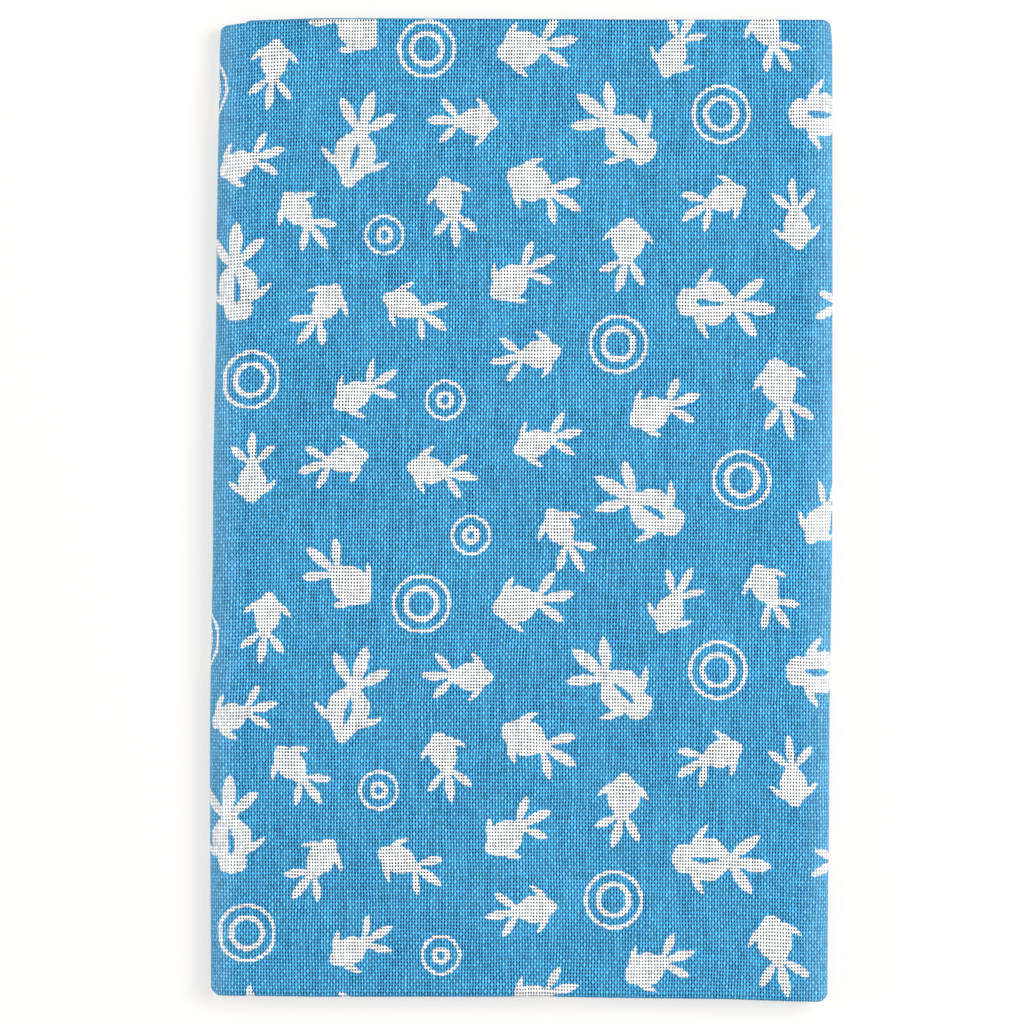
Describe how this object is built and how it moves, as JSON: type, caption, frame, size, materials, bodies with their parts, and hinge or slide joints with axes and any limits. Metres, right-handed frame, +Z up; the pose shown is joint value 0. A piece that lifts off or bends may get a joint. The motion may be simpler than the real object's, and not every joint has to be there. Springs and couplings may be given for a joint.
{
  "type": "folded tenugui towel",
  "caption": "Thin plain-woven cotton towel printed with goldfish and water rings, folded into a flat rectangular bundle.",
  "frame": {"origin": "centre of the flat underside of the folded bundle", "axes": "+Z up out of the printed face, +X to the right across the face, +Y along the bundle to its upper end"},
  "size_m": [0.1152, 0.1822, 0.0084],
  "materials": {
    "printed_cotton": "plain-woven cotton, dyed light blue with a white goldfish and water-ring print"
  },
  "bodies": {
    "root": {"towel_cloth": "printed_cotton"}
  },
  "joints": []
}
